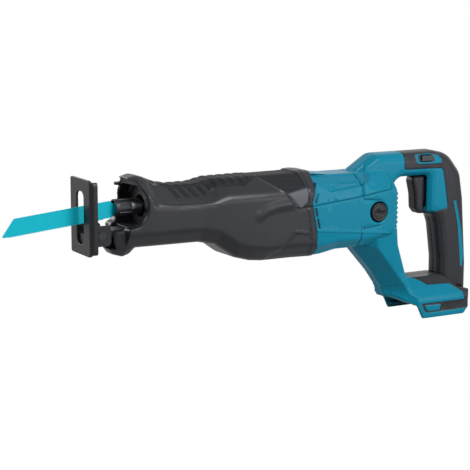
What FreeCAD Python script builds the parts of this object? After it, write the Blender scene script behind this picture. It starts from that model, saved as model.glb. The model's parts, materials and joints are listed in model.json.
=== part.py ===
import FreeCAD, Part
import math
import os

# Cordless reciprocating saw, in millimetres.
# Origin: front face of the shoe, on the line of the plunger. +X runs back to the handle,
# +Y is the user's right, +Z is up. The blade points to -X.

V = FreeCAD.Vector
X_DIR = V(1, 0, 0)
Y_DIR = V(0, 1, 0)
Z_DIR = V(0, 0, 1)

# ---- Clearances -------------------------------------------------------------
GAP = 0.3                    # between pieces that don't touch, and between moving ones
RUNNING = 0.05               # radial, for a shaft or pin that turns or slides in its bore
SEAM = 0.15                  # half the joint line between two mouldings

# ---- Stroke and drive -------------------------------------------------------
STROKE = 32.0
CRANK_X = 222.0
MOTOR_Z = -23.5
WHEEL_TEETH = 39
PINION_TEETH = 10
MODULE = 1.5
FACE_WIDTH = 7.5
TOOTH_SHARE = 0.39           # tooth thickness as a share of the pitch
WHEEL_DISC = 7.0
CRANK_PIN_R = 3.5
CRANK_SHAFT_R = 7.5
CHAMBER_WALL_GAP = 1.6
UPPER_BEARING_TOP = -47.0
UPPER_BEARING_R = 16.0
LOWER_BEARING_R = 13.0
LOWER_BEARING_WIDTH = 7.0
CRANK_FLOOR = -46.0
CAP_THICK = 2.2

# ---- Plunger, blade and clamp -----------------------------------------------
PLUNGER_R = 8.0
BLADE_WIDTH = 19.0
BLADE_THICK = 1.3
BLADE_TIP_X = -88.3
TIP_SLANT = 14.7               # how far the blade's back edge ends behind the tip
TOOTH_PITCH = 1.8
TOOTH_DEPTH = 1.0
BLADE_DROOP = 5.7            # degrees, tip down
TANG_WIDTH = 11.0
TANG_LENGTH = 17.0
DROOP_X = 52.0               # where the drooping blade's centre line meets the plunger's axis
CLAMP_PIN_R = 1.6
CLAMP_X = 38.6
CLAMP_LENGTH = 19.0
SLEEVE_R = 9.4
HOLDER_R = 7.1
YOKE_LENGTH = 24.0
YOKE_WIDTH = 46.0
YOKE_HEIGHT = 16.0
YOKE_FRONT = CRANK_X - STROKE / 2 - YOKE_LENGTH / 2
ROLLER_R = 6.0

# ---- Shoe -------------------------------------------------------------------
SHOE_PLATE = 2.5
SHOE_HALF = 28.0
SHOE_TOP = 34.4
SHOE_BOTTOM = -46.9
SHOE_CORNER = 7.0
SHOE_DEPTH = 8.6
SLOT_HALF = 9.1
SLOT_TOP = 20.7
SLOT_BOTTOM = -36.0
PIVOT_X = 18.0
PIVOT_Z = -26.5
PIVOT_R = 3.0
LUG_HALF = 15.0
LUG_THICK = 2.5
LUG_TOP = -16.0
LUG_BOTTOM = -38.0
LUG_BACK = 29.0
SHOE_TRAVEL = 16.0           # each way from the middle stage
BAR_TOP = -22.0
BAR_BOTTOM = -31.0
BAR_HALF = 11.0
BAR_BACK = 139.0
SHOE_BUTTON_X = 104.0
BUTTON_HALF_X = 8.0
BUTTON_HALF_Y = 13.0
BUTTON_TRAVEL = 6.0

# ---- Front casing -----------------------------------------------------------
COVER_WALL = 3.0
COVER_BOTTOM = -41.8
BELLY = -68.8
FRONT_X = 43.0
JAW_X = 27.0
JAW_ROOM_X = 50.0
JAW_FLOOR = -41.7
MOUTH_HALF = 28.5
MOUTH_TOP = 24.0
TAB_TIP_X = 51.0
MOUTH_BOTTOM = -20.5
NOSE_X = 70.0
BUSH_R = 11.0
FRONT_BUSH_X = 96.0
REAR_BUSH_X = 150.0
BUSH_LENGTH = 17.0

# ---- Motor ------------------------------------------------------------------
SHAFT_R = 5.0
REAR_SHAFT_R = 4.0
FRONT_BEARING_X = 259.0
FRONT_BEARING_R = 13.0
BEARING_WIDTH = 9.0
FAN_X = 278.0
FAN_R = 29.0
FAN_DEPTH = 11.0
CAN_X = 291.0
CAN_LENGTH = 48.0
CAN_R = 28.5
CAN_WALL = 2.0
MAGNET_THICK = 3.6
CORE_LENGTH = 38.0
AIR_GAP = 0.6
BRUSH_X = 357.3
COMMUTATOR_R = 12.0
COMMUTATOR_LENGTH = 15.0
CAP_R = 10.6
CAP_RECESS_R = 12.2
BRUSH_HALF = 3.2
HOLDER_HALF = 5.5
CAP_FACE = 38.6
REAR_BEARING_X = 368.0
REAR_BEARING_R = 9.5
REAR_BEARING_WIDTH = 7.0

# ---- Rear casing ------------------------------------------------------------
BODY_WALL = 2.8
SEAM_X = 333.0
BULGE_BACK = 386.0
HANDLE_TOP = 40.3
GRIP_FRONT = 443.0
HANDLE_BACK = 504.8
GRIP_HALF = 17.0
GRIP_EDGE = 11.0
RUBBER = 2.0
HANDLE_UNDER = 10.5
TRIGGER_HALF = 9.0
TRIGGER_TRAVEL = 7.0
TRIGGER_BOTTOM = -36.0
SWITCH_X = 464.0
SWITCH_LENGTH = 24.0
LOCK_X = 439.0
LOCK_Z = 32.0
LOCK_LENGTH = 15.0
LOCK_HEIGHT = 6.0
LOCK_TRAVEL = 4.0
FOOT_HALF = 37.5
FOOT_BACK = 502.5
SOCKET_FRONT = 405.0
SOCKET_BACK = 487.0
RAIL_LIP = 4.5
FOOT_BOTTOM = -157.2
FOOT_RIM_TOP = -132.0
FOOT_RIDGE = -111.0
FOOT_WALL = 4.0
HOLLOW_ROOF = -141.5
SCREW_R = 2.0
SCREW_HEAD_R = 3.6
SCREW_HEAD = 3.0

PARTS = {}


# ---- Outlines and simple solids ---------------------------------------------
def corner_arc(before, corner, after, radius):
    """Start, middle and end of the arc that rounds one corner."""
    to_before = V(before - corner).normalize()
    to_after = V(after - corner).normalize()
    half_angle = to_before.getAngle(to_after) / 2
    reach = radius / math.tan(half_angle)
    bisector = V(to_before + to_after).normalize()
    centre = corner + bisector * (radius / math.sin(half_angle))
    return corner + to_before * reach, centre - bisector * radius, corner + to_after * reach


def rounded_wire(corners):
    """Closed wire through (point, radius) corners. A radius of 0 leaves the corner sharp."""
    count = len(corners)
    turns = []
    for i, (point, radius) in enumerate(corners):
        if radius:
            turns.append(corner_arc(corners[i - 1][0], point, corners[(i + 1) % count][0], radius))
        else:
            turns.append((point, None, point))
    edges = []
    for i, (start, middle, end) in enumerate(turns):
        if middle:
            edges.append(Part.Arc(start, middle, end).toShape())
        following = turns[(i + 1) % count][0]
        if end.distanceToPoint(following) > 1e-6:
            edges.append(Part.LineSegment(end, following).toShape())
    return Part.Wire(edges)


def outline_x(x, corners):
    """Outline in the plane at x, from (y, z, radius) corners."""
    return rounded_wire([(V(x, y, z), r) for y, z, r in corners])


def outline_y(y, corners):
    """Outline in the plane at y, from (x, z, radius) corners."""
    return rounded_wire([(V(x, y, z), r) for x, z, r in corners])


def outline_z(z, corners):
    """Outline in the plane at z, from (x, y, radius) corners."""
    return rounded_wire([(V(x, y, z), r) for x, y, r in corners])


def mirrored(half):
    """Full section from the (y, z, radius) corners of its +Y half, listed from top to bottom."""
    return half + [(-y, z, r) for y, z, r in reversed(half)]


def slab_x(x0, x1, corners):
    return Part.Face(outline_x(x0, corners)).extrude(V(x1 - x0, 0, 0))


def slab_y(y0, y1, corners):
    return Part.Face(outline_y(y0, corners)).extrude(V(0, y1 - y0, 0))


def slab_z(z0, z1, corners):
    return Part.Face(outline_z(z0, corners)).extrude(V(0, 0, z1 - z0))


def box(x0, x1, y0, y1, z0, z1):
    return Part.makeBox(x1 - x0, y1 - y0, z1 - z0, V(x0, y0, z0))


def rod_x(x0, x1, radius, y=0.0, z=0.0):
    return Part.makeCylinder(radius, x1 - x0, V(x0, y, z), X_DIR)


def rod_y(y0, y1, radius, x, z):
    return Part.makeCylinder(radius, y1 - y0, V(x, y0, z), Y_DIR)


def rod_z(z0, z1, radius, x, y=0.0):
    return Part.makeCylinder(radius, z1 - z0, V(x, y, z0), Z_DIR)


def ring_x(x0, x1, outer, inner, z=0.0):
    return rod_x(x0, x1, outer, 0, z).cut(rod_x(x0 - 1, x1 + 1, inner, 0, z))


def ring_z(z0, z1, outer, inner, x):
    return rod_z(z0, z1, outer, x).cut(rod_z(z0 - 1, z1 + 1, inner, x))


def inset(corners, depth):
    """Outline moved inwards by depth. Corners are (u, v, radius), listed anticlockwise."""
    count = len(corners)
    moved = []
    for i, (u, v, radius) in enumerate(corners):
        before = corners[i - 1]
        after = corners[(i + 1) % count]
        a = V(u - before[0], v - before[1], 0).normalize()
        b = V(after[0] - u, after[1] - v, 0).normalize()
        normal_a = V(-a.y, a.x, 0)
        normal_b = V(-b.y, b.x, 0)
        shift = (normal_a + normal_b) * (depth / (1 + normal_a.dot(normal_b)))
        convex = a.cross(b).z > 0
        new_radius = max(radius - depth, 0.4) if convex else radius + depth
        moved.append((u + shift.x, v + shift.y, new_radius))
    return moved


def pillow(corners, half_width, edge, steps=3):
    """Side outline (x, z, radius) made solid about y = 0, with edges rounded off by edge."""
    layers = []
    for k in range(steps + 1):
        angle = math.radians(90.0 * k / steps)
        y = half_width - edge + edge * math.sin(angle)
        layers.append((y, edge * (1 - math.cos(angle))))
    wires = [outline_y(-y, inset(corners, depth)) for y, depth in reversed(layers)]
    wires += [outline_y(y, inset(corners, depth)) for y, depth in layers]
    return Part.makeLoft(wires, True, True)


def add(name, *solids):
    """Keep one node: one solid, or several separate ones."""
    PARTS[name] = solids[0] if len(solids) == 1 else Part.makeCompound(list(solids))


# ---- Casing sections --------------------------------------------------------
# Stations along the body: x, top, bottom, half width.
FRONT_STATIONS = [
    (FRONT_X, 28.0, COVER_BOTTOM, 32.0),
    (78.0, 28.0, COVER_BOTTOM, 33.4),
    (102.0, 22.4, COVER_BOTTOM, 33.8),
    (130.0, 22.4, COVER_BOTTOM, 34.6),
    (150.0, 26.4, -46.0, 36.0),
    (174.0, 26.6, -62.4, 37.6),
    (192.0, 26.8, -67.3, 38.5),
    (207.0, 27.0, BELLY, 39.0),
    (246.0, 27.4, BELLY, 39.2),
    (264.0, 28.4, -69.4, 38.8),
    (290.0, 26.0, -70.0, 38.2),
]
BODY_STATIONS = [
    (262.0, 25.5, -69.0, 38.0),
    (284.0, 23.4, -67.4, 37.8),
    (304.0, 21.4, -63.9, 37.5),
    (SEAM_X + 6, 21.4, -63.9, 37.5),
]
# Joint between the rubber cover and the motor housing, seen from the side: x, z.
COVER_EDGE = [(275.0, 60.0), (275.0, 26.0), (271.4, 12.1), (266.4, -8.0),
              (268.4, -20.0), (272.4, -40.0), (275.5, -90.0)]
# Front of the cover seen from the side, from the jaw up round the mouth to the hood: x, z, radius.
FRONT_EDGE = [(FRONT_X, -90.0, 0), (FRONT_X, -20.0, 3), (52.0, -17.5, 12), (62.0, -4.0, 16), (60.5, 16.0, 20),
              (56.0, 28.5, 3), (50.5, 31.0, 3), (50.5, 60.0, 0)]
RIM_SKEW = 0.125               # the mouth's rim lies this much further back per mm towards the left


def tube_section(top, bottom, half, depth=0.0):
    """Eight-sided section of the front casing, inset by depth. Only the outside has soft corners."""
    half -= depth
    wide, narrow = (0, 0) if depth else (14, 11)
    return mirrored([
        (half * 0.42, top - depth, wide),
        (half, top - 20 - depth * 0.5, wide),
        (half, bottom + 15 + depth * 0.3, narrow),
        (half - 12, bottom + depth, narrow),
    ])


def body_section(top, bottom, half, depth=0.0):
    """Section of the motor housing, inset by depth: flat sides under a sloping shoulder."""
    half -= depth
    radius = 0 if depth else 8
    return mirrored([
        (half * 0.46, top - depth, radius),
        (half, top - 18 - depth * 0.5, radius),
        (half, bottom + 11 + depth * 0.3, radius),
        (half - 10, bottom + depth, radius),
    ])


def station_loft(stations, section, depth=0.0):
    return Part.makeLoft([outline_x(x, section(t, b, w, depth)) for x, t, b, w in stations], True, True)


def in_front_of_joint(offset):
    """Everything ahead of the cover's rear edge, moved back by offset."""
    corners = [(x + offset, z, 0) for x, z in COVER_EDGE]
    corners += [(20.0, -90.0, 0), (20.0, 60.0, 0)]
    return slab_y(-60, 60, corners)


# ---- Shoe and its slide -----------------------------------------------------
def make_shoe():
    """Pressed steel shoe: slotted face with its sides folded back."""
    face = [(-SHOE_HALF, SHOE_BOTTOM, SHOE_CORNER), (SHOE_HALF, SHOE_BOTTOM, SHOE_CORNER),
            (SHOE_HALF, SHOE_TOP, SHOE_CORNER), (-SHOE_HALF, SHOE_TOP, SHOE_CORNER)]
    fold = [(0.0, -SHOE_HALF, 3.5), (SHOE_DEPTH, -SHOE_HALF, 0), (SHOE_DEPTH, SHOE_PLATE - SHOE_HALF, 0),
            (SHOE_PLATE, SHOE_PLATE - SHOE_HALF, 1.0), (SHOE_PLATE, SHOE_HALF - SHOE_PLATE, 1.0),
            (SHOE_DEPTH, SHOE_HALF - SHOE_PLATE, 0), (SHOE_DEPTH, SHOE_HALF, 0), (0.0, SHOE_HALF, 3.5)]
    blank = slab_z(SHOE_BOTTOM, SHOE_TOP, fold)
    shoe = blank.common(slab_x(-1, SHOE_DEPTH + 1, face))
    slot = [(-SLOT_HALF, SLOT_BOTTOM, SLOT_HALF - 0.5), (SLOT_HALF, SLOT_BOTTOM, SLOT_HALF - 0.5),
            (SLOT_HALF, SLOT_TOP, 6.0), (-SLOT_HALF, SLOT_TOP, 6.0)]
    return shoe.cut(slab_x(-1, SHOE_PLATE + 1, slot))


def make_shoe_bracket():
    """Channel riveted behind the shoe; its two lugs take the tilt pin."""
    web_back = SHOE_PLATE + LUG_THICK
    web_top = PIVOT_Z + 1.5
    web = box(SHOE_PLATE, web_back, -LUG_HALF, LUG_HALF, LUG_BOTTOM, web_top)
    lug_side = [(SHOE_PLATE, LUG_BOTTOM, 0), (LUG_BACK, LUG_BOTTOM, 5.0),
                (LUG_BACK, LUG_TOP, 5.0), (SHOE_PLATE, LUG_TOP, 2.0)]
    bracket = web
    for y in (-LUG_HALF, LUG_HALF - LUG_THICK):
        bracket = bracket.fuse(slab_y(y, y + LUG_THICK, lug_side))
    return bracket.removeSplitter().cut(rod_y(-LUG_HALF - 1, LUG_HALF + 1, PIVOT_R, PIVOT_X, PIVOT_Z))


def make_shoe_pin():
    """Tilt pin with a head outside each lug."""
    head = LUG_HALF + 1.4
    pin = rod_y(-head, head, PIVOT_R, PIVOT_X, PIVOT_Z)
    for y0, y1 in ((-head, -LUG_HALF), (LUG_HALF, head)):
        pin = pin.fuse(rod_y(y0, y1, PIVOT_R + 1.6, PIVOT_X, PIVOT_Z))
    return pin.removeSplitter()


def make_shoe_bar():
    """Notched bar that carries the shoe and slides in the housing."""
    head_half = LUG_HALF - LUG_THICK - GAP
    head_r = (BAR_TOP - BAR_BOTTOM) / 2
    head = rod_y(-head_half, head_half, head_r, PIVOT_X, (BAR_TOP + BAR_BOTTOM) / 2)
    neck = box(PIVOT_X, PIVOT_X + 12, -head_half, head_half, BAR_BOTTOM, BAR_TOP)
    bar = box(PIVOT_X + 8, BAR_BACK, -BAR_HALF, BAR_HALF, BAR_BOTTOM, BAR_TOP)
    bar = bar.fuse(neck).fuse(head).removeSplitter()
    bar = bar.cut(rod_y(-20, 20, PIVOT_R + RUNNING, PIVOT_X, PIVOT_Z))
    pitch = 2 * SHOE_TRAVEL / 4
    for stage in range(5):
        x = SHOE_BUTTON_X - SHOE_TRAVEL + stage * pitch
        bar = bar.cut(box(x - 2.2, x + 2.2, -BAR_HALF - 1, BAR_HALF + 1, BAR_BOTTOM - 1, BAR_BOTTOM + 2.2))
    return bar


def make_shoe_button():
    """Cross-sliding lock button under the housing, with the tongue that meets the bar."""
    flush = COVER_BOTTOM + 0.4
    pad = [(SHOE_BUTTON_X - BUTTON_HALF_X, -BUTTON_HALF_Y, 2.0),
           (SHOE_BUTTON_X + BUTTON_HALF_X, -BUTTON_HALF_Y, 2.0),
           (SHOE_BUTTON_X + BUTTON_HALF_X, BUTTON_HALF_Y, 2.0), (SHOE_BUTTON_X - BUTTON_HALF_X,
                                                                 BUTTON_HALF_Y, 2.0)]
    button = slab_z(flush, flush + 4.0, pad)
    tongue = box(SHOE_BUTTON_X - 2, SHOE_BUTTON_X + 2, -6, 6, flush + 3.0, BAR_BOTTOM - GAP)
    for k in range(5):
        y = -8 + 4 * k
        button = button.cut(box(SHOE_BUTTON_X - 6, SHOE_BUTTON_X + 6, y - 0.7, y + 0.7, flush - 1,
                                flush + 0.8))
    return button.fuse(tongue).removeSplitter()


def button_pocket():
    """Pocket and slot in the casing that the shoe button slides in."""
    x0 = SHOE_BUTTON_X - BUTTON_HALF_X - GAP
    x1 = SHOE_BUTTON_X + BUTTON_HALF_X + GAP
    low = -BUTTON_HALF_Y - GAP
    high = BUTTON_HALF_Y + BUTTON_TRAVEL + GAP
    pocket = box(x0, x1, low, high, COVER_BOTTOM - 5, COVER_BOTTOM + 4.7)
    slot = box(SHOE_BUTTON_X - 2 - GAP, SHOE_BUTTON_X + 2 + GAP, -6 - GAP, 6 + BUTTON_TRAVEL + GAP,
               COVER_BOTTOM + 3, BAR_BOTTOM)
    return pocket.fuse(slot)


# ---- Blade, clamp and plunger -----------------------------------------------
def make_blade():
    """Toothed blade with its tang, tipped down by the droop angle."""
    half = BLADE_WIDTH / 2
    edge_z = -half + TOOTH_DEPTH
    back = CLAMP_X - GAP
    teeth_start = BLADE_TIP_X + 6
    count = int((back - 12 - teeth_start) / TOOTH_PITCH)
    points = [(back + TANG_LENGTH, TANG_WIDTH / 2), (back, TANG_WIDTH / 2), (back - 3, half),
              (BLADE_TIP_X + TIP_SLANT, half), (BLADE_TIP_X, -half * 0.75), (BLADE_TIP_X + 1.0, -half + 1.2),
              (BLADE_TIP_X + 3.0, edge_z)]
    for k in range(count):
        x = teeth_start + k * TOOTH_PITCH
        points.append((x, edge_z))
        points.append((x + TOOTH_PITCH * 0.75, -half))
    points += [(teeth_start + count * TOOTH_PITCH, edge_z), (back - 3, edge_z),
               (back, -TANG_WIDTH / 2), (back + TANG_LENGTH, -TANG_WIDTH / 2)]
    corners = [V(x, -BLADE_THICK / 2, z) for x, z in points]
    blade = Part.Face(Part.makePolygon(corners + corners[:1])).extrude(V(0, BLADE_THICK, 0))
    blade = blade.cut(rod_y(-2, 2, CLAMP_PIN_R, CLAMP_X + 10, 0))
    blade.rotate(V(DROOP_X, 0, 0), Y_DIR, -BLADE_DROOP)
    return blade


def make_clamp():
    """Blade holder, locking pin, turning sleeve and return spring."""
    back = CLAMP_X + CLAMP_LENGTH
    holder = rod_x(CLAMP_X + 3, back + 3, HOLDER_R).cut(tang_slot())
    pin = Part.makeCylinder(CLAMP_PIN_R, 2 * HOLDER_R - 1, V(CLAMP_X + 10, 0.5 - HOLDER_R, 0), Y_DIR)
    pin.rotate(V(DROOP_X, 0, 0), Y_DIR, -BLADE_DROOP)
    add("blade_holder", holder.cut(pin))
    add("clamp_pin", pin)
    sleeve = rod_x(CLAMP_X, back - 1, SLEEVE_R)
    sleeve = sleeve.cut(rod_x(CLAMP_X - 1, back + 1, HOLDER_R + RUNNING))
    sleeve = sleeve.cut(rod_x(CLAMP_X - 1, CLAMP_X + 3, HOLDER_R + 0.8))
    for k in range(8):
        groove = rod_x(CLAMP_X + 4, back, 1.4, 0, SLEEVE_R + 0.6)
        groove.rotate(V(0, 0, 0), X_DIR, k * 45 + 22.5)
        sleeve = sleeve.cut(groove)
    add("clamp_sleeve", sleeve)
    add("clamp_spring", ring_x(back - 1 + GAP, back + 3, SLEEVE_R - 0.6, HOLDER_R))


def tang_slot():
    """Slot for the tang, which lies at the blade's own angle."""
    slot = box(CLAMP_X - 2, CLAMP_X + TANG_LENGTH, -BLADE_THICK / 2, BLADE_THICK / 2,
               -TANG_WIDTH / 2, TANG_WIDTH / 2)
    slot.rotate(V(DROOP_X, 0, 0), Y_DIR, -BLADE_DROOP)
    return slot


def make_plunger():
    """Round plunger with the slotted yoke that the crank roller works in."""
    front = CLAMP_X + CLAMP_LENGTH + 3
    yoke_x = CRANK_X - STROKE / 2
    bar = rod_x(front, yoke_x - YOKE_LENGTH / 2 + 1, PLUNGER_R)
    section = [(-YOKE_LENGTH / 2 + yoke_x, -YOKE_WIDTH / 2, 4.0),
               (YOKE_LENGTH / 2 + yoke_x, -YOKE_WIDTH / 2, 4.0),
               (YOKE_LENGTH / 2 + yoke_x, YOKE_WIDTH / 2, 4.0), (-YOKE_LENGTH / 2 + yoke_x,
                                                                 YOKE_WIDTH / 2, 4.0)]
    yoke = slab_z(-YOKE_HEIGHT / 2, YOKE_HEIGHT / 2, section)
    slot_half = STROKE / 2 + ROLLER_R
    slot = box(yoke_x - ROLLER_R, yoke_x + ROLLER_R, -slot_half + ROLLER_R, slot_half - ROLLER_R,
               -YOKE_HEIGHT, YOKE_HEIGHT / 2 - 3)
    for y in (-slot_half + ROLLER_R, slot_half - ROLLER_R):
        slot = slot.fuse(rod_z(-YOKE_HEIGHT, YOKE_HEIGHT / 2 - 3, ROLLER_R, yoke_x, y))
    return bar.fuse(yoke.cut(slot)).removeSplitter()


def make_roller():
    """Needle roller sleeve that sits in the yoke's slot, over the crank pin."""
    yoke_x = CRANK_X - STROKE / 2
    outer = rod_z(-YOKE_HEIGHT / 2, YOKE_HEIGHT / 2 - 3, ROLLER_R, yoke_x)
    return outer.cut(rod_z(-YOKE_HEIGHT, YOKE_HEIGHT, CRANK_PIN_R + RUNNING, yoke_x))


# ---- Bevel gears ------------------------------------------------------------
WHEEL_R = MODULE * WHEEL_TEETH / 2
PINION_R = MODULE * PINION_TEETH / 2
CONE = math.hypot(WHEEL_R, PINION_R)
WHEEL_ANGLE = math.atan2(WHEEL_TEETH, PINION_TEETH)
PINION_ANGLE = math.pi / 2 - WHEEL_ANGLE
INNER_SHARE = (CONE - FACE_WIDTH) / CONE
ADDENDUM = 0.85 * MODULE
DEDENDUM = 1.2 * MODULE
PRESSURE = math.radians(22)
CHAMBER_R = WHEEL_R + CHAMBER_WALL_GAP
BEARING_CAP_BOTTOM = BELLY + COVER_WALL + GAP
LOWER_BEARING_BOTTOM = BEARING_CAP_BOTTOM + CAP_THICK


def bevel_gear(teeth, pitch_r, cone_angle, turn):
    """Bevel gear about +Z with its apex at the origin and its pitch cone opening downwards."""
    height = CONE * math.cos(cone_angle)

    def on_cone(along, out):
        """Radius and height of the point at distance along the cone, out beyond it."""
        r = along * math.sin(cone_angle) + out * math.cos(cone_angle)
        z = -along * math.cos(cone_angle) + out * math.sin(cone_angle)
        return r, z

    root_out = on_cone(CONE, -DEDENDUM)
    root_in = on_cone(CONE * INNER_SHARE, -DEDENDUM * INNER_SHARE)
    back_z = root_out[1] - (WHEEL_DISC if teeth > 20 else 1.5)
    profile = [V(0, 0, root_in[1]), V(root_in[0], 0, root_in[1]), V(root_out[0], 0, root_out[1]),
               V(root_out[0], 0, back_z), V(0, 0, back_z)]
    blank = Part.Face(Part.makePolygon(profile + profile[:1])).revolve(V(0, 0, 0), Z_DIR, 360)
    half_pitch = math.pi * MODULE * TOOTH_SHARE / 2
    solids = []
    for k in range(teeth):
        wires = []
        for share in (1.0, INNER_SHARE):
            rows = []
            for out in (-DEDENDUM - 0.3, ADDENDUM):
                thin = half_pitch - out * math.tan(PRESSURE)
                r, z = on_cone(CONE, out)
                rows.append((r * share, z * share, thin * share))
            left = [V(r, -t, z) for r, z, t in rows]
            right = [V(r, t, z) for r, z, t in reversed(rows)]
            wires.append(Part.makePolygon(left + right + left[:1]))
        tooth = Part.makeLoft(wires, True, True)
        tooth.rotate(V(0, 0, 0), Z_DIR, turn + 360.0 * k / teeth)
        solids.append(tooth)
    return blank.multiFuse(solids).removeSplitter(), back_z


def make_crank():
    """Crank wheel with its shaft below and its pin above; a tooth space faces the pinion."""
    wheel, back_z = bevel_gear(WHEEL_TEETH, WHEEL_R, WHEEL_ANGLE, 180.0 / WHEEL_TEETH)
    wheel.translate(V(CRANK_X, 0, MOTOR_Z))
    disc_back = MOTOR_Z + back_z
    wheel = wheel.cut(rod_z(disc_back - 1, MOTOR_Z, CRANK_SHAFT_R, CRANK_X))
    pin_x = CRANK_X - STROKE / 2
    wheel = wheel.cut(rod_z(disc_back - 1, MOTOR_Z, CRANK_PIN_R, pin_x))
    add("crank_wheel", wheel)
    shoulder = rod_z(UPPER_BEARING_TOP + GAP, disc_back, CRANK_SHAFT_R + 3, CRANK_X)
    shaft = rod_z(LOWER_BEARING_BOTTOM + GAP, disc_back + WHEEL_DISC - 1.0, CRANK_SHAFT_R, CRANK_X)
    add("crank_shaft", shaft.fuse(shoulder).removeSplitter())
    add("crank_pin", rod_z(disc_back + 1.0, -YOKE_HEIGHT / 2 - GAP, CRANK_PIN_R, pin_x))


def make_crank_bearings():
    upper = ring_z(UPPER_BEARING_TOP - BEARING_WIDTH, UPPER_BEARING_TOP, UPPER_BEARING_R,
                   CRANK_SHAFT_R + RUNNING, CRANK_X)
    lower = ring_z(LOWER_BEARING_BOTTOM, LOWER_BEARING_BOTTOM + LOWER_BEARING_WIDTH, LOWER_BEARING_R,
                   CRANK_SHAFT_R + RUNNING, CRANK_X)
    add("crank_bearing_upper", upper)
    add("crank_bearing_lower", lower)


def make_armature():
    """Shaft with its pinion, laminated core, commutator and fan."""
    pinion, back_z = bevel_gear(PINION_TEETH, PINION_R, PINION_ANGLE, 0.0)
    pinion.rotate(V(0, 0, 0), Y_DIR, -90)
    pinion.translate(V(CRANK_X, 0, MOTOR_Z))
    add("pinion", pinion)
    shaft = rod_x(CRANK_X - back_z, CAN_X + CAN_LENGTH, SHAFT_R, 0, MOTOR_Z)
    shaft = shaft.fuse(rod_x(CAN_X, REAR_BEARING_X + REAR_BEARING_WIDTH - GAP, REAR_SHAFT_R, 0, MOTOR_Z))
    add("armature_shaft", shaft.removeSplitter())
    core_x = CAN_X + (CAN_LENGTH - CORE_LENGTH) / 2
    core_r = CAN_R - CAN_WALL - MAGNET_THICK - AIR_GAP
    core = ring_x(core_x, core_x + CORE_LENGTH, core_r, SHAFT_R, MOTOR_Z)
    for k in range(12):
        slot = box(core_x - 1, core_x + CORE_LENGTH + 1, -1.2, 1.2, MOTOR_Z + core_r - 6,
                   MOTOR_Z + core_r + 1)
        slot.rotate(V(0, 0, MOTOR_Z), X_DIR, 30.0 * k)
        core = core.cut(slot)
    add("armature_core", core)
    add("armature_windings",
        ring_x(core_x - 6, core_x - 0.1, core_r - 3, SHAFT_R, MOTOR_Z),
        ring_x(core_x + CORE_LENGTH + 0.1, core_x + CORE_LENGTH + 6, core_r - 3, SHAFT_R, MOTOR_Z))
    com_x = BRUSH_X - COMMUTATOR_LENGTH / 2
    add("commutator", ring_x(com_x, com_x + COMMUTATOR_LENGTH, COMMUTATOR_R, REAR_SHAFT_R, MOTOR_Z))
    fan = ring_x(FAN_X, FAN_X + 2, FAN_R, SHAFT_R, MOTOR_Z)
    fan = fan.fuse(ring_x(FAN_X, FAN_X + FAN_DEPTH - 1, SHAFT_R + 4, SHAFT_R, MOTOR_Z))
    for k in range(12):
        blade = box(FAN_X + 1, FAN_X + FAN_DEPTH, -0.8, 0.8, MOTOR_Z + 13, MOTOR_Z + FAN_R - 1)
        blade.rotate(V(0, 0, MOTOR_Z + 13), X_DIR, 25)
        blade.rotate(V(0, 0, MOTOR_Z), X_DIR, 30.0 * k)
        fan = fan.fuse(blade)
    add("fan", fan.removeSplitter())


def make_motor():
    """Field can with its magnets, and the bearings of the armature."""
    add("motor_can", ring_x(CAN_X, CAN_X + CAN_LENGTH, CAN_R, CAN_R - CAN_WALL, MOTOR_Z))
    magnets = []
    inner = CAN_R - CAN_WALL - MAGNET_THICK
    arc = ring_x(CAN_X + 4, CAN_X + CAN_LENGTH - 4, CAN_R - CAN_WALL, inner, MOTOR_Z)
    for k in range(4):
        wedge = slab_x(CAN_X, CAN_X + CAN_LENGTH, [(0, MOTOR_Z, 0), (CAN_R, MOTOR_Z + CAN_R * 1.6, 0),
                                                   (-CAN_R, MOTOR_Z + CAN_R * 1.6, 0)])
        wedge.rotate(V(0, 0, MOTOR_Z), X_DIR, 45 + 90 * k)
        magnets.append(arc.common(wedge))
    add("magnets", *magnets)
    add("front_bearing", ring_x(FRONT_BEARING_X, FRONT_BEARING_X + BEARING_WIDTH, FRONT_BEARING_R,
                                SHAFT_R + RUNNING, MOTOR_Z))
    add("rear_bearing", ring_x(REAR_BEARING_X, REAR_BEARING_X + REAR_BEARING_WIDTH, REAR_BEARING_R,
                               REAR_SHAFT_R + RUNNING, MOTOR_Z))


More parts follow.
